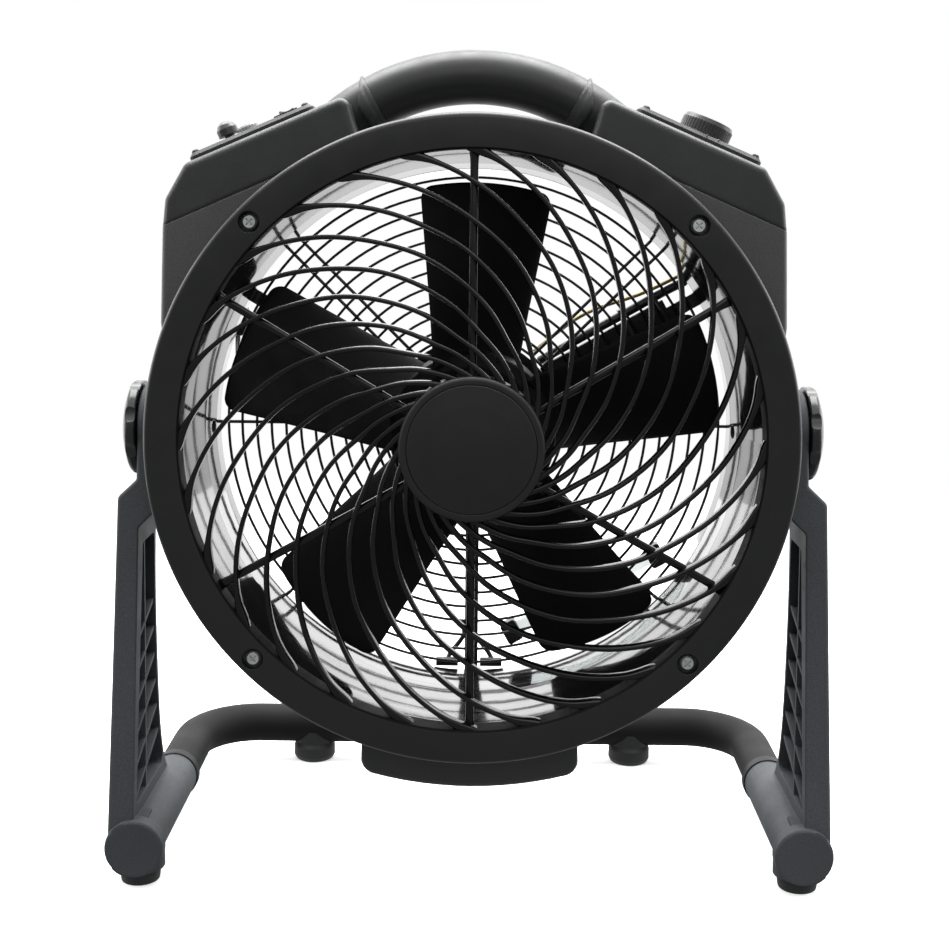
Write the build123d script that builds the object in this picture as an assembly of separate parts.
from build123d import *
import math
import os

# Portable axial air mover: a round fan head with two shoulder boxes and a
# carrying handle, hung between two side arms that stand on a U-shaped tube.
# Everything is laid out about the tilt axis (x = right, y = back, z = up,
# seen from the front) and moved to the floor frame when it is written.
# The fan axis is y and the tilt axis is x. "Depth" means y.

os.makedirs("parts", exist_ok=True)

# ------------------------------------------------------- driving dimensions
PIVOT_Z = 288.0        # tilt axis above the floor
FLOOR = -PIVOT_Z
FRONT_Y = -88.0        # front of the centre badge
REAR_Y = 188.0         # back of the rear feet
PIVOT_Y = -(FRONT_Y + REAR_Y) / 2

SCREW_R = 189.5        # pitch radius of the front ring screws
RING_SCREW_ANGLES = (45, 135, 225, 315)
DUCT_END = 22.0        # back of the drum
BRACKET_ANGLES = (60, 180, 300)
BRACKET_SCREW_R = 178.6
GUARD_ANGLES = (20, 110, 200, 290)
GUARD_SCREW_R = 177.0
THIRDS = (0, 120, 240)
TWELFTHS = [15 + 30 * k for k in range(12)]

BOX_IN = 188.3         # inner radius of the shoulder boxes
BOX_Y0, BOX_Y1 = -38.0, 36.0
WALL = 3.0
SHAFT_R = 5.0          # motor shaft
STUD_R = 4.0           # tilt studs

TUBE_X, TUBE_Z = 211.4, -260.5     # side runs of the base tube
TUBE_R = 14.5
CROSS_Y = 172.0        # rear run of the base tube
TUBE_SCREW_YS = (24.0, 46.0)
TUBE_SCREW_Z = -275.4  # seat of the tube screw heads
FRONT_FOOT_Y = -46.0
FRONT_FOOT_TOP = -279.2
REAR_FOOT_X = 124.0

# Top slope of the right shoulder, which starts at the corner (79, 212).
# On it u runs outward and down, v runs back, and height is along the normal.
SLOPE = math.radians(23.1)
SLOPE_COS, SLOPE_SIN = math.cos(SLOPE), math.sin(SLOPE)
PANEL_X = 138.5
RIGHT_SLOPE = Plane(origin=(PANEL_X, 0.0, 212.0 - (PANEL_X - 79.0) * math.tan(SLOPE)),
                    x_dir=(SLOPE_COS, 0, -SLOPE_SIN), z_dir=(SLOPE_SIN, 0, SLOPE_COS))


# ------------------------------------------------------------------- helpers
def cyl_y(radius, y0, y1, x=0.0, z=0.0):
    return Pos(x, (y0 + y1) / 2, z) * Rot(90, 0, 0) * Cylinder(radius, y1 - y0)


def cyl_x(radius, x0, x1, y=0.0, z=0.0):
    return Pos((x0 + x1) / 2, y, z) * Rot(0, 90, 0) * Cylinder(radius, x1 - x0)


def cyl_z(radius, z0, z1, x=0.0, y=0.0):
    return Pos(x, y, (z0 + z1) / 2) * Cylinder(radius, z1 - z0)


def block(x0, x1, y0, y1, z0, z1):
    centre = Pos((x0 + x1) / 2, (y0 + y1) / 2, (z0 + z1) / 2)
    return centre * Box(x1 - x0, y1 - y0, z1 - z0)


def outline(points):
    """Closed face whose corners may carry a radius as a third value."""
    corners = []       # arc start, arc middle (None if sharp), arc end
    for i, point in enumerate(points):
        corner = Vector(point[0], point[1])
        radius = point[2] if len(point) > 2 else 0
        if radius <= 0:
            corners.append((corner, None, corner))
            continue
        before = points[i - 1]
        after = points[(i + 1) % len(points)]
        to_before = (Vector(before[0], before[1]) - corner).normalized()
        to_after = (Vector(after[0], after[1]) - corner).normalized()
        angle = math.acos(max(-1, min(1, to_before.dot(to_after))))
        setback = radius / math.tan(angle / 2)
        inward = (to_before + to_after).normalized()
        middle = corner + inward * (radius / math.sin(angle / 2) - radius)
        corners.append((corner + to_before * setback, middle, corner + to_after * setback))
    edges = []
    for i, (start, middle, end) in enumerate(corners):
        if middle is not None:
            edges.append(ThreePointArc(start, middle, end))
        following = corners[(i + 1) % len(corners)][0]
        if (following - end).length > 1e-6:
            edges.append(Line(end, following))
    return make_face(edges)


def turn_y(points):
    """Turn an outline of (radius, depth) points about the fan axis."""
    return revolve(outline(points), axis=Axis.Y, revolution_arc=360)


def turn_x(points):
    """Turn an outline of (x, radius) points about the tilt axis."""
    return revolve(outline(points), axis=Axis.X, revolution_arc=360)


def turn_z(points):
    """Turn an outline of (radius, height) points about z."""
    return revolve(Plane.XZ * outline(points), axis=Axis.Z, revolution_arc=360)


def slab_y(face, y0, y1):
    """Extrude an (x, z) face from depth y0 to depth y1."""
    plane = Plane(origin=(0, y1, 0), x_dir=(1, 0, 0), z_dir=(0, -1, 0))
    return extrude(plane * face, amount=y1 - y0)


def slab_x(face, x0, x1):
    """Extrude a (y, z) face from x0 to x1."""
    plane = Plane(origin=(x0, 0, 0), x_dir=(0, 1, 0), z_dir=(1, 0, 0))
    return extrude(plane * face, amount=x1 - x0)


def spin(obj, angle):
    """Turn about the fan axis, clockwise when looked at from the front."""
    return Rot(0, angle, 0) * obj


def around(obj, angles):
    return [spin(obj, angle) for angle in angles]


def flip(obj):
    return mirror(obj, about=Plane.YZ)


def sided(side, obj):
    """A right-hand shape as it is (side 1) or mirrored to the left (side -1)."""
    return obj if side > 0 else flip(obj)


def on_slope(side, obj):
    return sided(side, RIGHT_SLOPE * obj)


def round_bar(path, radius):
    return sweep(Plane(origin=path @ 0, z_dir=path % 0) * Circle(radius), path=path)


def pipe(points, radius):
    return round_bar(Spline(*[Vector(*point) for point in points]), radius)


def screw(head_r, head_h, shank_r, length):
    """Cross-slot screw pointing along +y, underside of the head at y=0."""
    slot_y = -head_h * 0.45
    reach = head_r * 0.55
    head = turn_y([(0, 0), (head_r, 0), (head_r, slot_y, 0), (head_r * 0.72, -head_h),
                   (0, -head_h)])
    slots = block(-reach, reach, -head_h - 1, slot_y, -0.45, 0.45)
    slots += block(-0.45, 0.45, -head_h - 1, slot_y, -reach, reach)
    return head - slots + cyl_y(shank_r, -0.2, length)


def back_screw(*sizes):
    """Screw pointing forward, with its head at the back."""
    return Rot(0, 0, 180) * screw(*sizes)


def up_screw(*sizes):
    """Screw pointing up, with its head at the bottom."""
    return Rot(90, 0, 0) * screw(*sizes)


def ease(obj, edges, sizes):
    """Round the given edges with the first of the sizes that the solid takes."""
    for radius in sizes:
        # a radius too large for the edges makes the fillet fail: try the next
        try:
            rounded = fillet(edges, radius)
            if rounded.is_valid and abs(rounded.volume) > 0.5 * abs(obj.volume):
                return rounded
        except Exception:
            continue
    return obj


def group(items):
    return Compound(children=list(items))


def pair(obj):
    return group([obj, flip(obj)])


# -------------------------------------------------------------- front grille
RING_R = 200.0         # front ring, outside
RING_IN = 178.0        # front ring, inside
RING_Y = -71.5         # front ring, front face
RING_BACK_Y = -56
RING_SEAT_Y = -67.4    # floor of the screw recesses
RIBS = 28
RIB_W = 3.2
HUB_R = 44.0
SPOKES = 6

# centre line of a front rib: radius, angle clockwise from the top
SWIRL = [(179.6, -64.2), (173.6, -60.2), (156.8, -50.0), (135.0, -37.8),
         (118.5, -27.6), (99.8, -16.5), (84.6, -6.7), (67.6, 5.3),
         (57.7, 16.5), (47.3, 30.4), (42.6, 39.0)]
# front surface of the ribs: radius, depth
DOME = [(40.0, -83.4), (78.0, -80.7), (140.0, -73.6), (184.0, -70.0)]


def dome_shell(front, back):
    """Thin cone-faced shell between two offsets of the domed rib surface."""
    return turn_y([(radius, y + front) for radius, y in DOME]
                  + [(radius, y + back) for radius, y in reversed(DOME)])


def swirl_strip():
    """One curved rib seen from the front, as three arcs each side."""
    centres = [(radius * math.sin(math.radians(angle)), radius * math.cos(math.radians(angle)))
               for radius, angle in SWIRL]
    left, right = [], []
    for i, (x, z) in enumerate(centres):
        before = centres[max(i - 1, 0)]
        after = centres[min(i + 1, len(centres) - 1)]
        run_x, run_z = after[0] - before[0], after[1] - before[1]
        length = math.hypot(run_x, run_z)
        side_x, side_z = -run_z / length * RIB_W / 2, run_x / length * RIB_W / 2
        left.append(Vector(x + side_x, z + side_z))
        right.append(Vector(x - side_x, z - side_z))
    edges = []
    for side in (left, right):
        for first, middle, last in ((0, 2, 4), (4, 6, 8), (8, 9, 10)):
            edges.append(ThreePointArc(side[first], side[middle], side[last]))
    edges += [Line(left[0], right[0]), Line(left[10], right[10])]
    return slab_y(make_face(edges), -96, -52)


def front_grille():
    ring = turn_y([(RING_IN, RING_BACK_Y), (RING_IN, RING_Y, 1.2), (RING_R, RING_Y, 3.2),
                   (RING_R, -50), (197.2, -50), (197.2, -67), (181.5, -67),
                   (181.5, RING_BACK_Y)])
    for angle in RING_SCREW_ANGLES:
        ring += spin(cyl_y(7.0, -67.5, RING_BACK_Y, 0, SCREW_R), angle)
    hub = turn_y([(0, -84), (39.3, -84), (39.3, -85.6), (HUB_R, -85.6, 2.4), (HUB_R, -72),
                  (41.4, -72), (41.4, -80.5), (0, -80.5)])
    rib = swirl_strip() & dome_shell(0, 5.4)
    # straight spokes lie behind the ribs
    spoke = block(-2.5, 2.5, -92, -52, 42.2, 179.6) & dome_shell(5.6, 9.8)
    grille = ring + hub + around(spoke, [k * 360 / SPOKES for k in range(SPOKES)])
    grille = grille + around(rib, [k * 360 / RIBS for k in range(RIBS)])
    for angle in RING_SCREW_ANGLES:
        grille -= spin(cyl_y(6.5, RING_Y - 1, RING_SEAT_Y, 0, SCREW_R), angle)
        grille -= spin(cyl_y(2.7, -72, -55, 0, SCREW_R), angle)
    return grille


def center_badge():
    return turn_y([(0, -84), (39.0, -84), (39.0, -86.0, 0.5), (27.0, -87.1), (14.0, -87.8),
                   (5.0, FRONT_Y), (0, FRONT_Y)])


def grille_screws():
    one = Pos(0, RING_SEAT_Y, SCREW_R) * screw(4.9, 3.0, 2.05, 22)
    return group(around(one, RING_SCREW_ANGLES))


# ------------------------------------------------------------------ fan drum
DUCT_IN = 180.0        # duct bore at the front
DUCT_OUT = 168.5       # duct bore at the back
BELLY_Y0, BELLY_Y1 = -42, 20

# outside of the drum, then back along the bore: radius, depth
DRUM = [(DUCT_IN, -56), (197.0, -56), (197.0, -52.4), (184.0, -50.5), (179.4, -20),
        (172.6, 18), (173.6, DUCT_END), (DUCT_OUT, DUCT_END), (DUCT_OUT, 6),
        (171.5, -16), (176.5, -40)]
# hollow of the block under the drum: x, z
BELLY_IN = [(-65.5, -150), (-65.5, -205), (-57, -213.5), (0, -222.5), (57, -213.5),
            (65.5, -205), (65.5, -150)]


def belly_block():
    """Hollow block under the drum, flush with the round body."""
    face = make_face([
        Line((-69.5, -172), (-69.5, -208.8)),
        ThreePointArc((-69.5, -208.8), (-67.4, -214.9), (-62, -218.5)),
        ThreePointArc((-62, -218.5), (0, -226.5), (62, -218.5)),
        ThreePointArc((62, -218.5), (67.4, -214.9), (69.5, -208.8)),
        Line((69.5, -208.8), (69.5, -172)),
        Line((69.5, -172), (-69.5, -172)),
    ])
    belly = slab_y(face, BELLY_Y0, BELLY_Y1)
    front_edges = [e for e in belly.edges()
                   if abs(e.center().Y - BELLY_Y0) < 0.01 and e.center().Z < -180]
    belly = ease(belly, front_edges, (3.0, 2.0, 1.0))
    belly -= cyl_y(182.0, -60, 40)
    belly = belly - slab_y(outline(BELLY_IN), BELLY_Y0 + 3.5, BELLY_Y1 + 1)
    return belly & (cyl_y(240, -60, 60) - cyl_y(175, -60, 60))


def tilt_boss():
    """Ribbed boss on the right of the drum, on the tilt axis."""
    boss = cyl_x(27, 168, 200) - cyl_x(19.5, 186, 198.0)
    boss += cyl_x(10.5, 176, 200)
    for k in range(6):
        rib = Box(14, 1.8, 26, align=(Align.CENTER, Align.CENTER, Align.MIN))
        boss += Pos(192, 0, 0) * Rot(k * 60, 0, 0) * rib
    boss -= cyl_y(177.2, -60, 60)
    return boss


def fan_drum():
    drum = turn_y(DRUM)
    for angle in RING_SCREW_ANGLES:
        drum += spin(cyl_y(5.6, -53, -39.2, 0, SCREW_R - 1), angle)
    drum += belly_block()
    for side in (1, -1):
        drum += sided(side, tilt_boss())
    # pads that carry the side boxes, on both sides
    for angle in (38, 52, 72):
        for signed_angle in (angle, -angle):
            drum += spin(block(-5, 5, -30, 16, 176, BOX_IN - 0.2), signed_angle)
    # lugs for the motor bracket and the rear guard
    for angle in BRACKET_ANGLES:
        drum += spin(cyl_y(5.5, 8, DUCT_END, 0, BRACKET_SCREW_R), angle)
    for angle in GUARD_ANGLES:
        drum += spin(cyl_y(4.6, 10, DUCT_END, 0, GUARD_SCREW_R), angle)
    # clear the bore, then the screw holes and the stud holes
    drum -= cyl_y(167.9, -60, 60)
    for angle in RING_SCREW_ANGLES:
        drum -= spin(cyl_y(2.06, -60, -42, 0, SCREW_R), angle)
    for angle in BRACKET_ANGLES:
        drum -= spin(cyl_y(1.76, 6, 40, 0, BRACKET_SCREW_R), angle)
    for angle in GUARD_ANGLES:
        drum -= spin(cyl_y(1.56, 12, 40, 0, GUARD_SCREW_R), angle)
    for side in (1, -1):
        drum -= sided(side, cyl_x(7.0, 183, 198.5))
        drum -= sided(side, cyl_x(4.4, 165, 201))
    return drum


def pivot_inserts():
    return pair(cyl_x(6.9, 183.2, 198.3) - cyl_x(STUD_R + 0.06, 180, 200))


# -------------------------------------------------------------------- handle
HANDLE_R = 17.0
HANDLE_ARC = 133.0     # radius of the handle's centre line
HANDLE_CZ = 93.0       # height of its centre


def handle_bar(radius, start, end):
    """Round bar along the handle arc, angles in degrees from the top."""
    def at(angle):
        turn = math.radians(angle)
        return Vector(HANDLE_ARC * math.sin(turn), 0, HANDLE_CZ + HANDLE_ARC * math.cos(turn))
    return round_bar(ThreePointArc(at(start), at((start + end) / 2), at(end)), radius)


def handle_grip():
    return handle_bar(HANDLE_R, -40.4, 40.4) - handle_bar(12.55, -42, 42)


def handle_core():
    return handle_bar(12.5, -41, 41) - handle_bar(10.5, -43, 43)


def handle_collar():
    """Stepped collar where the handle enters the right shoulder."""
    collar = handle_bar(18.6, 28.4, 30.6) + handle_bar(19.6, 30.2, 33.0)
    collar -= handle_bar(HANDLE_R + 0.03, 26, 37)
    collar -= block(73.2, 120, -40, 40, 150, 230)
    return collar


# ------------------------------------------------------------- side boxes
# right-hand outlines: x, z, corner radius
COVER = [(79, 212, 6), (179, 169.3, 7), (191.5, 147.5, 8), (193.2, 131.1), (104, 170.1),
         (104, 150), (71, 150), (73, 190)]
COVER_IN = [(81.5, 207.4, 3), (177.6, 166.2, 5), (188.7, 146.2, 5), (190.2, 120),
            (100, 150), (74, 150), (76, 190)]
HOUSE = [(193.2, 130.7), (195.2, 71, 5), (194.0, 59, 5), (186, 48, 3), (150, 48),
         (104.4, 150), (104.4, 169.5)]
HOUSE_IN = [(190.2, 134), (192.2, 71), (191.0, 61, 3), (184.8, 51.5), (150, 51.5),
            (104.4, 150), (107.4, 180)]
BACK = [(79.2, 211.6, 6), (179, 169.1, 7), (191.3, 147.4, 8), (194.9, 71, 5),
        (193.7, 59.3, 5), (185.9, 48.4, 3), (150, 48.4), (104, 150), (71.4, 150),
        (73.3, 190)]
# region above the joint between housing and cover
ABOVE_JOINT = [(250, 105.9), (250, 300), (60, 300), (60, 189.3)]
# back cover screws: x, z
COVER_SCREWS = [(89.5, 200.5), (173.5, 164)]       # into the shoulder cover
HOUSE_SCREWS = [(188.6, 66), (187.3, 104)]         # into the side housing
RELIEF_X, RELIEF_Z = -186.0, 92.0                  # where the cord comes out

# places on the slope: u, v
KNOB_U, KNOB_V = 3.8, -6.0
RESET_U, RESET_V = 14.7, -14.0
MODE_U, MODE_V = 5.0, 8.0
ROCK_U, ROCK_V = -24.0, -8.0
PANEL_SCREWS = [(37.2, 22.2), (37.2, -22.2), (-37.2, 22.2), (-37.2, -22.2)]
PANEL_THICK = 5.0
PANEL_GAP = 0.03
PANEL_TOP = PANEL_THICK + PANEL_GAP


def control_holes(side, extra):
    """Cutters for the controls of one side, enlarged by extra."""
    if side > 0:
        return [Pos(KNOB_U, KNOB_V, 0) * Cylinder(5.0 + extra, 30)]
    return [Pos(RESET_U, RESET_V, 0) * Cylinder(5.1 + extra, 30),
            Pos(MODE_U, MODE_V, 0) * Cylinder(4.1 + extra, 30),
            Pos(ROCK_U, ROCK_V, 0) * Box(13.0 + extra, 19.0 + extra, 30)]


def screw_post(x, z):
    return (block(x - 4, x + 4, BOX_Y1 - 9, BOX_Y1, z - 4, z + 4)
            - cyl_y(1.56, BOX_Y1 - 10, BOX_Y1 + 1, x, z))


def cover_shell():
    cover = slab_y(outline(COVER), BOX_Y0, BOX_Y1)
    front_edges = [e for e in cover.edges() if abs(e.center().Y - BOX_Y0) < 0.01
                   and (e.center().Z > 171 or e.center().X > 180)
                   and math.hypot(e.center().X, e.center().Z) > 212]
    cover = ease(cover, front_edges, (4.0, 3.0, 2.0))
    cover -= cyl_y(BOX_IN, -60, 60)
    cover -= (slab_y(outline(COVER_IN), BOX_Y0 + WALL, BOX_Y1 + 1)
              - cyl_y(BOX_IN + WALL, -60, 60))
    return cover


def shoulder_cover(side):
    cover = (sided(side, cover_shell())
             - sided(side, handle_bar(HANDLE_R + 0.1, 20, 41)))
    for hole in control_holes(side, 0.2):
        cover -= on_slope(side, hole)
    # trim the posts to the outside of the cover
    envelope = slab_y(outline(COVER), BOX_Y0 + 1, BOX_Y1) - cyl_y(BOX_IN, -60, 60)
    for x, z in COVER_SCREWS:
        cover += sided(side, screw_post(x, z) & envelope)
    for u, v in PANEL_SCREWS:
        cover -= on_slope(side, Pos(u, v, -3) * Cylinder(1.36, 20))
    cover -= sided(side, handle_collar())
    return cover


def side_housing(side):
    front = BOX_Y0 - 0.4
    above_joint = slab_y(outline(ABOVE_JOINT), -70, 70)
    house = slab_y(outline(HOUSE), front, BOX_Y1)
    front_edges = [e for e in house.edges()
                   if abs(e.center().Y - front) < 0.01 and e.center().X > 187.5]
    house = ease(house, front_edges, (3.6, 2.5, 1.5))
    house -= cyl_y(BOX_IN, -60, 60)
    house -= (slab_y(outline(HOUSE_IN), BOX_Y0 + WALL, BOX_Y1 + 1)
              - cyl_y(BOX_IN + WALL, -60, 60) - block(90, 220, -60, 60, 200, 210))
    house -= above_joint
    house = sided(side, house)
    # trim the posts to the outside of the housing
    envelope = (slab_y(outline(HOUSE), BOX_Y0 + 1, BOX_Y1)
                - cyl_y(BOX_IN, -60, 60) - above_joint)
    for x, z in HOUSE_SCREWS:
        house += sided(side, screw_post(x, z) & envelope)
    return house


def back_cover(side):
    back = slab_y(outline(BACK), BOX_Y1 + 0.02, BOX_Y1 + 2.6) - cyl_y(BOX_IN, -60, 60)
    for i in range(7):      # cooling slots
        back -= spin(block(-1.1, 1.1, 30, 45, 194, 214), 30 + 4.2 * i)
    for x, z in COVER_SCREWS + HOUSE_SCREWS:
        back -= cyl_y(1.7, 30, 45, x, z)
    if side > 0:
        return back
    return flip(back) - cyl_y(5.6, 30, 45, RELIEF_X, RELIEF_Z)


def back_cover_screws():
    right = [Pos(x, BOX_Y1 + 2.62, z) * back_screw(3.1, 1.9, 1.5, 9)
             for x, z in COVER_SCREWS + HOUSE_SCREWS]
    return group(right + [flip(one) for one in right])


def control_panel(side):
    """Raised plate on the slope of one shoulder."""
    plate = Pos(0, 0, PANEL_GAP) * extrude(RectangleRounded(84, 54, 5), amount=PANEL_THICK)
    # the plate keeps a square rim if the chamfer cannot be made
    try:
        plate = chamfer(plate.faces().sort_by(Axis.Z)[-1].edges(), 2.2)
    except Exception:
        pass
    for u, v in PANEL_SCREWS:
        plate -= Pos(u, v, 0) * Cylinder(1.45, 20)
    for hole in control_holes(side, 0):
        plate = plate - hole
    return on_slope(side, plate)


def panel_screws():
    down_screw = Rot(-90, 0, 0) * screw(2.3, 1.4, 1.3, 9.5)
    return group([on_slope(side, Pos(u, v, PANEL_TOP + 0.03) * down_screw)
                  for side in (1, -1) for u, v in PANEL_SCREWS])


# --------------------------------------------------------------- rear guard
GUARD_Y = 24.0
WIRE_R = 0.95
RADIAL_R = 1.15        # radial wires
RING_PITCH = 9.8
GUARD_RINGS = [163.6] + [154.5 - RING_PITCH * k for k in range(10)] + [60.0]


def wire_ring(ring_r, wire_r, y):
    return revolve(Pos(ring_r, y) * Circle(wire_r), axis=Axis.Y, revolution_arc=360)


def rear_guard():
    rim = wire_ring(170.4, 1.45, DUCT_END + 1.5)
    rings = [wire_ring(radius, WIRE_R, GUARD_Y) for radius in GUARD_RINGS]
    radials = around(cyl_z(RADIAL_R, 59.4, 170.6, 0, GUARD_Y + 1.5), (0, 90, 180, 270))
    for angle in (45, 135, 225, 315):
        for x in (-5.0, 5.0):
            radials.append(spin(cyl_z(RADIAL_R, 59.6, 170.2, x, GUARD_Y + 1.5), angle))
    guard = rim + rings + radials
    tab = (block(-4.5, 4.5, DUCT_END + 0.3, DUCT_END + 1.9, 169.5, 181.5)
           - cyl_y(1.75, 20, 30, 0, GUARD_SCREW_R))
    for angle in GUARD_ANGLES:
        guard += spin(tab, angle)
    return guard


def guard_screws():
    one = Pos(0, DUCT_END + 1.92, GUARD_SCREW_R) * back_screw(3.4, 2.0, 1.5, 10.5)
    return group(around(one, GUARD_ANGLES))


# -------------------------------------------------------- motor and bracket
BRACKET_Y0, BRACKET_Y1 = 26.9, 31.4
MOTOR_SCREW_R = 52.0
CABLE_ARM = 60         # angle of the bracket arm that carries the cables
BEARING_R = 11.0


def motor_bracket():
    bracket = cyl_y(57.5, BRACKET_Y0, BRACKET_Y1) - cyl_y(46.6, BRACKET_Y0 - 1, BRACKET_Y1 + 1)
    for angle in BRACKET_ANGLES:
        arm = block(-4.5, 4.5, BRACKET_Y0, BRACKET_Y1, 55, 184)
        arm += block(-1.6, 1.6, BRACKET_Y1 - 0.5, BRACKET_Y1 + 4.0, 58.5, 173.9)
        arm += block(-5.5, 5.5, DUCT_END + 0.05, BRACKET_Y1, 174.6, 184.2)
        arm -= cyl_y(2.0, 20, 40, 0, BRACKET_SCREW_R)
        bracket += spin(arm, angle)
    # the cable arm is widened by a ledge with a lip
    ledge = (block(-10.5, -3.5, BRACKET_Y0, BRACKET_Y0 + 2, 57, 150)
             + block(-10.5, -8.9, BRACKET_Y0, BRACKET_Y1 + 3, 57, 150))
    bracket += spin(ledge, CABLE_ARM)
    for angle in THIRDS:
        bracket -= spin(cyl_y(2.05, BRACKET_Y0 - 1, BRACKET_Y1 + 1, 0, MOTOR_SCREW_R), angle)
    return bracket


def motor_mount_screws():
    outer = Pos(0, BRACKET_Y1 + 0.02, BRACKET_SCREW_R) * back_screw(4.2, 2.6, 1.7, 18)
    inner = Pos(0, BRACKET_Y1 + 3.24, MOTOR_SCREW_R) * back_screw(3.8, 2.4, 2.0, 10.4)
    return group(around(outer, BRACKET_ANGLES) + around(inner, THIRDS))


def motor_front_case():
    bore = BEARING_R + 0.05
    case = turn_y([(bore, 12), (40, 12), (46, 18), (46, 31.42), (57, 31.42), (57, 34.6),
                   (46, 34.6), (46, 37), (43.4, 37), (43.4, 20), (38, 15), (16, 15),
                   (16, 20.2), (bore, 20.2)])
    for angle in THIRDS:
        case -= spin(cyl_y(2.05, 30, 36, 0, MOTOR_SCREW_R), angle)
    for angle in TWELFTHS:      # vents
        case -= spin(block(-3, 3, 10, 16, 25, 34), angle)
    return case


def motor_rear_case():
    bore = BEARING_R + 0.05
    case = turn_y([(bore, 50.8), (16, 50.8), (16, 57.5), (38, 57.5), (43.4, 52),
                   (43.4, 37.05), (46, 37.05), (46, 55), (39, 62), (0, 62), (0, 59.4),
                   (bore, 59.4)])
    for angle in TWELFTHS:      # vents
        case -= spin(block(-2.5, 2.5, 56, 63, 24, 34), angle)
    return case


def motor_stator():
    stator = cyl_y(43.3, 26, 48) - cyl_y(27.0, 20, 55)
    for angle in TWELFTHS:
        stator -= spin(block(-2.2, 2.2, 20, 55, 29.5, 38), angle)
    return stator


def motor_windings():
    return group([
        turn_y([(29.5, 20.6), (39, 20.6, 1.5), (40.5, 25.9), (28.5, 25.9)]),
        turn_y([(28.5, 48.1), (40.5, 48.1), (39, 53.6, 1.5), (29.5, 53.6)]),
    ])


def motor_bearings():
    bore = SHAFT_R + 0.05
    return group([cyl_y(BEARING_R, 13, 20) - cyl_y(bore, 10, 30),
                  cyl_y(BEARING_R, 51.5, 58.5) - cyl_y(bore, 50, 60)])


def motor_rotor():
    rotor = cyl_y(26.4, 26.5, 47.5) + cyl_y(SHAFT_R - 0.01, -38, 58.8)
    rotor += (turn_y([(0, 20.4), (22, 22.5), (22, 26.6), (0, 26.6)])
              + turn_y([(0, 47.4), (22, 47.4), (22, 50.5), (0, 50.4)]))
    return rotor


# ------------------------------------------------------------------ impeller
BLADES = 5
TIP_R = 160.0
FAN_HUB_R = 53.0
HUB_RIBS = 10
BLADE_Y = -12          # depth of the blade's middle
BLADE_HALF_T = 1.5
CAMBER = 4.0
# blade stations: radius, width across the fan face, pitch in degrees
STATIONS = [(48, 57, 38), (85, 65, 31), (125, 76, 25), (166, 87, 21)]


def blade_section(radius, width, pitch):
    """Thin cambered strip across the blade at one radius."""
    half = width / math.cos(pitch) / 2
    shoulder = CAMBER * 0.72
    thick = BLADE_HALF_T
    top = Spline((-half, -thick * 0.35), (-half * 0.5, shoulder + thick),
                 (0, CAMBER + thick), (half * 0.5, shoulder + thick), (half, -thick * 0.35))
    bottom = Spline((half, -thick * 0.9), (half * 0.5, shoulder - thick),
                    (0, CAMBER - thick), (-half * 0.5, shoulder - thick),
                    (-half, -thick * 0.9))
    face = make_face([top, Line(top @ 1, bottom @ 0), bottom, Line(bottom @ 1, top @ 0)])
    # the strip lies across x, its thickness along y, at height z = radius
    return Plane(origin=(0, BLADE_Y, radius), x_dir=(math.cos(pitch), math.sin(pitch), 0),
                 z_dir=(0, 0, 1)) * face


def impeller():
    wheel = turn_y([(SHAFT_R, -33), (14, -33), (46, -32, 6), (FAN_HUB_R, -25, 4),
                    (FAN_HUB_R, 8), (50.4, 8), (50.4, -24), (45, -29), (13, -29.5), (13, 4),
                    (SHAFT_R, 4)])
    for k in range(HUB_RIBS):
        wheel += spin(block(-0.9, 0.9, -29.8, 2, 12.5, 50.8), 18 + 360 / HUB_RIBS * k)
    blade = loft([blade_section(radius, width, math.radians(pitch))
                  for radius, width, pitch in STATIONS])
    blade = blade & (cyl_y(TIP_R, -60, 40) - cyl_y(49.5, -60, 40))
    for k in range(BLADES):
        wheel += spin(blade, 3 + 360 / BLADES * k)
    wheel -= cyl_y(48.9, 6.5, 30) - cyl_y(14, -40, 6.6)
    return wheel - cyl_y(SHAFT_R, -60, 30)


def impeller_nut():
    bore = SHAFT_R + 0.01
    return turn_y([(bore, -33.02), (11, -33.02), (11, -36, 1), (8, -40.5, 2), (0, -40.5),
                   (0, -38.1), (bore, -38.1)])


# ------------------------------------------------------------ cables, clips
# runs beside the cable arm: distance out along it, offset across it, depth
MOTOR_CABLE = [(59.5, 13.6, 41), (75, 14.2, 35.0), (100, 14.4, 33.2), (130, 14.2, 33.2),
               (158, 14.0, 32.6), (174, 13.0, 32.0), (184, 12.0, 31.0)]
CONTROL_LEAD = [(59.5, 21.4, 40), (72, 24.0, 34), (95, 27.2, 32.2), (115, 25.6, 32.0),
                (135, 21.4, 32.0), (158, 19.2, 31.6), (180, 18.0, 31.0)]


def arm_cable(stations, radius):
    """Cable through stations given beside the two o'clock arm."""
    turn = math.radians(CABLE_ARM)
    return pipe([(out * math.sin(turn) - off * math.cos(turn), y,
                  out * math.cos(turn) + off * math.sin(turn))
                 for out, off, y in stations], radius)


def cable_ties():
    ties = []
    for out in (122, 146):
        tie = (block(-18.6, 6.4, BRACKET_Y0 - 1.3, 38.2, out - 1.3, out + 1.3)
               - block(-17.4, 5.2, BRACKET_Y0 - 0.02, 37.0, out - 3, out + 3))
        tie += block(2.0, 6.0, 38.0, 41.0, out - 2.4, out + 2.4)
        ties.append(spin(tie, CABLE_ARM))
    return group(ties)


# ionizer plate with its clamps, low on the right of the duct
ION_START, ION_END = Vector(24, 0, -146), Vector(128, 0, -88)
ION_DIR = (ION_END - ION_START).normalized()
ION_LEN = (ION_END - ION_START).length
ION_PLANE = Plane(origin=(ION_START.X, 34.0, ION_START.Z), x_dir=(ION_DIR.X, 0, ION_DIR.Z),
                  z_dir=(0, -1, 0))


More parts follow.
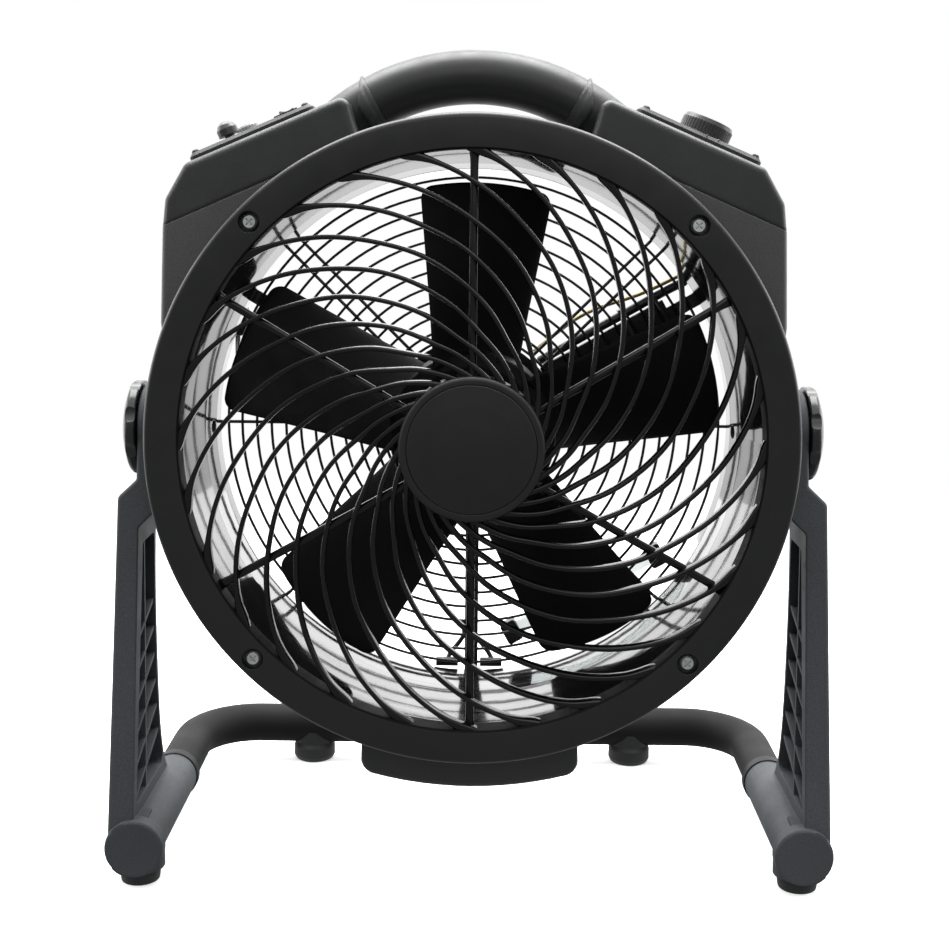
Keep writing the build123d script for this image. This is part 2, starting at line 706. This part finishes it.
def ionizer_slab(centre, length, width, corner_r, thick):
    """Rounded slab on the ionizer line, reaching forward from its plane."""
    face = Pos(centre, 0) * RectangleRounded(length, width, corner_r)
    return extrude(ION_PLANE * face, amount=thick)


def ionizer_plate():
    return ionizer_slab(ION_LEN / 2, ION_LEN - 6, 9.0, 1.5, 3.0)


def ionizer_clamps():
    clamps = []
    for centre in (4.0, ION_LEN - 4.0):
        clamp = Pos(0, 2.4, 0) * ionizer_slab(centre, 11, 15, 2, 7.6)
        clamp -= ionizer_slab(ION_LEN / 2, ION_LEN - 5.9, 9.1, 1.5, 3.05)
        clamps.append(clamp)
    return group(clamps)


def strut_clip():
    """Wire clip on the six o'clock arm, with two curved legs and their feet."""
    clip = block(-6.5, 2.5, 32.6, 38.6, -147, -138)
    leg_depths = [(35.6, -142), (35.2, -152), (33.4, -160), (30.5, -163.5)]    # y, z
    for leg_xs in ((-4.5, -7.5, -14, -16), (0.5, 5.5, 12, 14)):
        clip += pipe([(x, y, z) for x, (y, z) in zip(leg_xs, leg_depths)], 1.6)
    clip += cyl_x(3.1, -24, -9, 30.2, -165.4) + cyl_x(3.1, 6, 21, 30.2, -165.4)
    # clear the arm and the rib on its back
    clip -= (block(-4.6, 4.6, BRACKET_Y0 - 1, BRACKET_Y1 + 0.05, -190, -50)
             + block(-1.7, 1.7, BRACKET_Y0 - 1, BRACKET_Y1 + 4.1, -190, -50))
    return clip


# ------------------------------------------------------------------ controls
# Built about the slope normal; heights are along it.
SPEED_SPINDLE_R = 3.0
MODE_SPINDLE_R = 2.5
RESET_STEM_R = 3.2
CLEARANCE = 0.06
ROCK_H = 3.2
ROCK_PIN_H = ROCK_H - 1.4
ROCK_TILT = 7.0        # it rests at one end of its throw


def speed_knob():
    knob = turn_z([(0, PANEL_TOP + 0.3), (16.6, PANEL_TOP + 0.3), (16.6, PANEL_TOP + 7.6),
                   (15.4, PANEL_TOP + 10.6, 1), (0, PANEL_TOP + 11.2)])
    for k in range(48):      # knurled rim
        notch = Pos(16.9, 0, PANEL_TOP + 4.2) * Rot(0, 0, 45) * Box(0.9, 0.9, 7.2)
        knob -= Rot(0, 0, k * 7.5) * notch
    knob += Pos(0, 0, PANEL_TOP - 6.5) * Cylinder(SPEED_SPINDLE_R, 14.2)
    knob -= Pos(11.5, 0, PANEL_TOP + 11.0) * Box(6.0, 1.2, 2.0)
    return on_slope(1, Pos(KNOB_U, KNOB_V, 0) * knob)


def speed_switch():
    bore_r = SPEED_SPINDLE_R + CLEARANCE
    body = (Pos(KNOB_U, KNOB_V, -17.2) * Box(26, 26, 20)
            - Pos(KNOB_U, KNOB_V, -10) * Cylinder(bore_r, 40))
    body += Pos(KNOB_U, KNOB_V, -2.6) * (Cylinder(4.9, 9.6) - Cylinder(bore_r, 20))
    return on_slope(1, body)


def mode_knob():
    knob = turn_z([(0, PANEL_TOP + 0.3), (7.4, PANEL_TOP + 0.3), (7.4, PANEL_TOP + 5.0),
                   (6.6, PANEL_TOP + 6.2), (0, PANEL_TOP + 6.2)])
    for k in range(20):      # knurled rim
        notch = Pos(7.7, 0, PANEL_TOP + 3.2) * Rot(0, 0, 45) * Box(0.8, 0.8, 4.2)
        knob -= Rot(0, 0, k * 18) * notch
    knob += Pos(0, 0, PANEL_TOP - 6.0) * Cylinder(MODE_SPINDLE_R, 13.2)
    return on_slope(-1, Pos(MODE_U, MODE_V, 0) * knob)


def mode_switch():
    bore_r = MODE_SPINDLE_R + CLEARANCE
    body = (Pos(MODE_U, MODE_V, -11.2) * Box(16, 16, 12)
            - Pos(MODE_U, MODE_V, -10) * Cylinder(bore_r, 40))
    body += Pos(MODE_U, MODE_V, -2.2) * (Cylinder(4.0, 8.4) - Cylinder(bore_r, 20))
    return on_slope(-1, body)


def reset_button():
    button = turn_z([(0, PANEL_TOP - 6.0), (RESET_STEM_R, PANEL_TOP - 6.0),
                     (RESET_STEM_R, PANEL_TOP + 2.3), (6.7, PANEL_TOP + 2.3),
                     (6.7, PANEL_TOP + 6.6, 1.5), (5.2, PANEL_TOP + 9.4, 2),
                     (2.4, PANEL_TOP + 11.2, 2), (0, PANEL_TOP + 11.2)])
    return on_slope(-1, Pos(RESET_U, RESET_V, 0) * button)


def reset_breaker():
    bore_r = RESET_STEM_R + CLEARANCE
    body = (Pos(RESET_U, RESET_V, -13.6) * Box(14, 12, 17)
            - Pos(RESET_U, RESET_V, 0) * Cylinder(bore_r, 60))
    body += Pos(RESET_U, RESET_V, -1.2) * (Cylinder(5.0, 12.0) - Cylinder(bore_r, 30))
    return on_slope(-1, body)


def rocker():
    """Two-position rocker that turns about an axis running front to back."""
    face = Plane.XZ * outline([
        (-4.6, ROCK_H - 3.0), (4.6, ROCK_H - 3.0), (4.6, ROCK_H + 1.0),
        (5.0, ROCK_H + 5.4, 0.8), (0, ROCK_H + 3.0, 8), (-5.0, ROCK_H + 5.4, 0.8),
        (-4.6, ROCK_H + 1.0)])
    body = extrude(face, amount=7.2, both=True)
    pin = Pos(0, 0, ROCK_PIN_H) * Rot(90, 0, 0) * Cylinder(1.0, 16.4)
    tilt = Pos(0, 0, ROCK_PIN_H) * Rot(0, -ROCK_TILT, 0) * Pos(0, 0, -ROCK_PIN_H)
    return on_slope(-1, Pos(ROCK_U, ROCK_V, 0) * (tilt * (body + pin)))


def rocker_housing():
    hang = (Align.CENTER, Align.CENTER, Align.MAX)
    stand = (Align.CENTER, Align.CENTER, Align.MIN)
    body = (Pos(0, 0, PANEL_TOP + 0.5) * Box(12.8, 18.8, 22, align=hang)
            + Pos(0, 0, PANEL_TOP + 0.02) * Box(15.6, 22.0, 1.4, align=stand))
    body -= Pos(0, 0, PANEL_TOP + 2) * Box(11.6, 15.2, 10.6, align=hang)
    body -= Pos(0, 0, ROCK_PIN_H) * Rot(90, 0, 0) * Cylinder(1.0 + CLEARANCE, 16.8)
    return on_slope(-1, Pos(ROCK_U, ROCK_V, 0) * body)


def control_board():
    board = block(182.2, 183.8, -24, 22, 70, 118)
    board += block(183.6, 189.2, -16, -4, 80, 92) + block(183.6, 188.4, 2, 14, 98, 110)
    return board


def run_capacitor():
    return flip(cyl_y(3.6, -22, 20, 187.5, 101.0))


# ---------------------------------------------------------------- power cord
CORD_R = 3.4
COIL_X, COIL_Z = -147.0, 147.0     # middle of the tied bundle
COIL_HALF = 36.0       # half length of the straights
COIL_R = 13.5          # radius of the half turns
COIL_DIR = Vector(-0.70, 0, -0.714)
COIL_Y = BOX_Y1 + 2.6 + CORD_R + 0.2
PLUG_X, PLUG_Y = -161, COIL_Y + 10


def strain_relief():
    return Pos(RELIEF_X, 0, RELIEF_Z) * turn_y([
        (3.55, BOX_Y1 - 6), (5.5, BOX_Y1 - 6), (5.5, BOX_Y1 + 2.62), (7.6, BOX_Y1 + 2.62),
        (7.0, BOX_Y1 + 6), (5.2, BOX_Y1 + 9.2), (3.55, BOX_Y1 + 9.2)])


def coil_loop(y):
    """One flat loop of cord: two straights and two half turns."""
    centre = Vector(COIL_X, y, COIL_Z)
    unit = COIL_DIR.normalized()
    far, near = centre + unit * COIL_HALF, centre - unit * COIL_HALF
    forward = unit * COIL_R
    aside = Vector(unit.Z, 0, -unit.X) * COIL_R
    path = Wire([Line(near + aside, far + aside),
                 ThreePointArc(far + aside, far + forward, far - aside),
                 Line(far - aside, near - aside),
                 ThreePointArc(near - aside, near - forward, near + aside)])
    return sweep(Plane(origin=near + aside, z_dir=unit) * Circle(CORD_R), path=path)


def power_cord():
    """Cord from the strain relief, three stacked loops, and the plug end."""
    bend_y = BOX_Y1 + 13
    cord = coil_loop(COIL_Y)
    for k in (1, 2):
        cord += coil_loop(COIL_Y + k * 5.5)
    cord += cyl_y(CORD_R, BOX_Y1 - 4, bend_y, RELIEF_X, RELIEF_Z)
    cord += Pos(RELIEF_X, bend_y, RELIEF_Z) * Sphere(CORD_R)
    cord += pipe([(RELIEF_X, bend_y, RELIEF_Z), (-185.2, BOX_Y1 + 16.5, 99),
                  (-184, BOX_Y1 + 16.6, 108), (-181.5, BOX_Y1 + 14.5, 117)], CORD_R)
    cord += pipe([(-146, COIL_Y + 12.0, 127.5), (-154, COIL_Y + 14.5, 117),
                  (-160, COIL_Y + 12, 104), (PLUG_X, PLUG_Y, 92)], CORD_R)
    return cord


def power_plug(cord):
    """Three-pin plug pointing down, bored for the cord."""
    plane = Plane(origin=(PLUG_X, PLUG_Y, 92.2), x_dir=(1, 0, 0), z_dir=(0, 0, -1))
    stand = (Align.CENTER, Align.CENTER, Align.MIN)
    plug = plane * (Cylinder(4.6, 10, align=stand)
                    + Pos(0, 0, 9) * extrude(RectangleRounded(17, 12.5, 4), amount=20))
    for side in (1, -1):
        plug += plane * Pos(side * 6.35, 0, 28.5) * Box(1.5, 6.3, 18, align=stand)
    plug += plane * Pos(0, 3.6, 28.5) * Cylinder(2.4, 20, align=stand)
    plug -= cord
    return plug


# ----------------------------------------------------- tilt knobs, side arms
ARM_X0 = 211.5                     # inner face of the arm
HEAD_X0, HEAD_X1 = 201.2, 213.5    # arm head, inner and outer face
# rear edge of the arm: y, z
ARM_REAR = [(28, 0), (22.5, -26), (16.5, -60), (12.5, -110), (15, -170), (22, -215),
            (36, -242), (58, -252)]
# arm seen from the front: x, z, corner radius
ARM_FRONT = [(HEAD_X0, 40), (HEAD_X1, 40), (HEAD_X1, -30, 3), (225.3, -41, 5),
             (228.4, -270), (ARM_X0, -270), (ARM_X0, -60, 3), (HEAD_X0, -50, 3)]
# pocket in the inner face: y, z, corner radius
ARM_POCKET = [(-24, -72, 4), (8.5, -72, 4), (7.5, -120, 40), (9.5, -170, 40),
              (16, -212, 20), (26, -236, 6), (-54, -236, 4)]


def clamp_knob():
    knob = turn_x([(HEAD_X1 + 0.1, 0), (HEAD_X1 + 0.1, 12), (214.4, 12), (214.4, 30.4, 1.0),
                   (220.4, 31.0, 3.0), (223.6, 22.0, 8), (226.2, 10.0, 6), (227.2, 0)])
    for k in range(8):      # finger scallops
        knob -= Rot(k * 45 + 22.5, 0, 0) * cyl_x(12.0, 212, 230, 0, 41.2)
    return knob + cyl_x(STUD_R, 186, HEAD_X1 + 1)


def pivot_washers():
    return pair(cyl_x(20, 200.06, 201.14) - cyl_x(STUD_R + 0.06, 198, 203))


def arm_pocket():
    """Cutter for the inner pocket; slanted ribs and one long rib stay."""
    pocket = slab_x(outline(ARM_POCKET), ARM_X0 - 1, ARM_X0 + 12.5)
    for i in range(6):
        z = -128 - 19 * i
        rib = outline([(-70, z - 18), (-70, z - 15.4), (40, z + 22.6), (40, z + 20)])
        pocket -= slab_x(rib, ARM_X0 + 1.0, 230)
    long_rib = outline([(-16, -60), (-13.6, -60), (-20.6, -250), (-23, -250)])
    pocket -= slab_x(long_rib, ARM_X0 + 1.0, 230)
    return pocket


def right_arm():
    side_face = make_face([
        ThreePointArc((-28, -4), (0, 28.3), (28, 0)),
        Spline(*ARM_REAR),
        Line((58, -252), (58, -262)),
        Line((58, -262), (-64, -262)),
        Line((-64, -262), (-64, -250)),
        Line((-64, -250), (-28, -4)),
    ])
    arm = slab_x(side_face, 200, 231)
    arm = arm & slab_y(outline(ARM_FRONT), -80, 80)
    outer_edges = [e for e in arm.edges() if e.length > 20 and e.center().Z > -250
                   and (e.center().X > 222 or e.center().X > 211 and e.center().Z > -30)]
    arm = ease(arm, outer_edges, (2.4, 1.6, 1.0))
    inner_edges = [e for e in arm.edges() if e.length > 20 and e.center().Z > -250
                   and abs(e.center().X - ARM_X0) < 0.3]
    arm = ease(arm, inner_edges, (1.2, 0.8))
    # socket for the tube, closed at the front by a rounded cap
    arm += cyl_y(16.0, -62, 58, TUBE_X, TUBE_Z)
    arm += (block(205, 225, -66.6, -40, TUBE_Z - 17, TUBE_Z + 17)
            & cyl_y(18.5, -66, -40, TUBE_X, TUBE_Z))
    arm += Pos(TUBE_X, 0, TUBE_Z) * turn_y([(0, -66.2), (18.6, -66.2, 2.0), (18.6, -56, 3),
                                            (15.5, -50), (0, -50)])
    # saddle over the front foot
    arm += cyl_z(15.6, FRONT_FOOT_TOP + 0.04, TUBE_Z, TUBE_X, FRONT_FOOT_Y)
    arm -= arm_pocket()
    # bores for the stud, the tube and the screws
    arm -= cyl_x(STUD_R + 0.06, 195, 220)
    arm -= cyl_y(TUBE_R + 0.05, 8, 60, TUBE_X, TUBE_Z)
    arm -= cyl_z(2.06, -290, -262, TUBE_X, FRONT_FOOT_Y)
    for y in TUBE_SCREW_YS:
        arm -= cyl_z(1.76, -282, -270, TUBE_X, y)
        arm -= cyl_z(3.6, -282, TUBE_SCREW_Z, TUBE_X, y)
    return arm


# ---------------------------------------------------------- base tube, feet
BEND_R = 46.0
TUBE_WALL = 1.8
TUBE_START_Y = 9.0
FRONT_SEAT_Z = FLOOR + 4.0     # screw seats inside the feet
REAR_SEAT_Z = FLOOR + 4.5


def base_tube():
    bend_x = TUBE_X - BEND_R
    bend_y = CROSS_Y - BEND_R
    diagonal = BEND_R * math.sin(math.radians(45))
    path = Wire([
        Line((TUBE_X, TUBE_START_Y, TUBE_Z), (TUBE_X, bend_y, TUBE_Z)),
        ThreePointArc((TUBE_X, bend_y, TUBE_Z),
                      (bend_x + diagonal, bend_y + diagonal, TUBE_Z),
                      (bend_x, CROSS_Y, TUBE_Z)),
        Line((bend_x, CROSS_Y, TUBE_Z), (-bend_x, CROSS_Y, TUBE_Z)),
        ThreePointArc((-bend_x, CROSS_Y, TUBE_Z),
                      (-bend_x - diagonal, bend_y + diagonal, TUBE_Z),
                      (-TUBE_X, bend_y, TUBE_Z)),
        Line((-TUBE_X, bend_y, TUBE_Z), (-TUBE_X, TUBE_START_Y, TUBE_Z)),
    ])
    start = Plane(origin=(TUBE_X, TUBE_START_Y, TUBE_Z), z_dir=(0, 1, 0))
    tube = (sweep(start * Circle(TUBE_R), path=path)
            - sweep(start * Circle(TUBE_R - TUBE_WALL), path=path))
    for side in (1, -1):
        for y in TUBE_SCREW_YS:
            tube -= cyl_z(1.66, -280, -262, side * TUBE_X, y)
        tube -= cyl_z(1.76, -280, -262, side * REAR_FOOT_X, CROSS_Y)
    return tube


def tube_collars():
    bore = TUBE_R + 0.04
    return pair(Pos(TUBE_X, 0, TUBE_Z) * turn_y([
        (bore, 58.06), (17.0, 58.06, 0.8), (17.0, 66.5, 2.0), (bore, 67.5)]))


def front_feet():
    return pair(Pos(TUBE_X, FRONT_FOOT_Y, 0) * turn_z([
        (2.1, FRONT_SEAT_Z), (6, FRONT_SEAT_Z), (6, FLOOR), (12.2, FLOOR, 1.2),
        (13.0, FLOOR + 6), (13.0, FRONT_FOOT_TOP), (2.1, FRONT_FOOT_TOP)]))


def rear_feet():
    foot = Pos(REAR_FOOT_X, CROSS_Y, 0) * turn_z([
        (1.8, REAR_SEAT_Z), (6, REAR_SEAT_Z), (6, FLOOR), (14.2, FLOOR, 1.5),
        (16.0, FLOOR + 3.6), (16.0, FLOOR + 11, 1.5), (14.4, FLOOR + 14),
        (14.4, FLOOR + 24), (1.8, FLOOR + 24)])
    foot -= cyl_x(TUBE_R + 0.04, 80, 160, CROSS_Y, TUBE_Z)
    return pair(foot)


def foot_screws():
    right = [Pos(TUBE_X, FRONT_FOOT_Y, FRONT_SEAT_Z - 0.02) * up_screw(4.2, 2.4, 2.0, 14.0),
             Pos(REAR_FOOT_X, CROSS_Y, REAR_SEAT_Z - 0.02) * up_screw(4.2, 2.4, 1.7, 13.0)]
    return group(right + [flip(one) for one in right])


def tube_screws():
    right = [Pos(TUBE_X, y, TUBE_SCREW_Z - 0.02) * up_screw(3.4, 2.0, 1.6, 8.0)
             for y in TUBE_SCREW_YS]
    return group(right + [flip(one) for one in right])


# --------------------------------------------------------------------- write
# pieces whose file is named after their function
parts = {build.__name__: build() for build in (
    front_grille, center_badge, grille_screws, fan_drum, pivot_inserts,
    back_cover_screws, panel_screws, handle_grip, handle_core, rear_guard, guard_screws,
    motor_bracket, motor_mount_screws, motor_front_case, motor_rear_case, motor_stator,
    motor_windings, motor_bearings, motor_rotor, impeller, impeller_nut, cable_ties,
    ionizer_plate, ionizer_clamps, strut_clip, speed_knob, speed_switch, mode_knob,
    mode_switch, reset_button, reset_breaker, rocker, rocker_housing, control_board,
    run_capacitor, strain_relief, power_cord, pivot_washers, right_arm, base_tube,
    tube_collars, front_feet, rear_feet, foot_screws, tube_screws)}
for side, prefix in ((1, "right_"), (-1, "left_")):
    for build in (shoulder_cover, side_housing, back_cover, control_panel):
        parts[prefix + build.__name__] = build(side)
    parts[prefix + "clamp_knob"] = sided(side, clamp_knob())
parts["left_arm"] = flip(parts["right_arm"])
parts["handle_collars"] = pair(handle_collar())
parts["motor_cable"] = arm_cable(MOTOR_CABLE, 3.0)
parts["control_lead"] = arm_cable(CONTROL_LEAD, 1.3)
parts["power_plug"] = power_plug(parts["power_cord"])

for name, obj in parts.items():
    solids = [Pos(0, PIVOT_Y, PIVOT_Z) * solid for solid in obj.solids()]
    out = solids[0] if len(solids) == 1 else Compound(children=solids)
    out.label = name
    export_step(out, "parts/" + name + ".step")
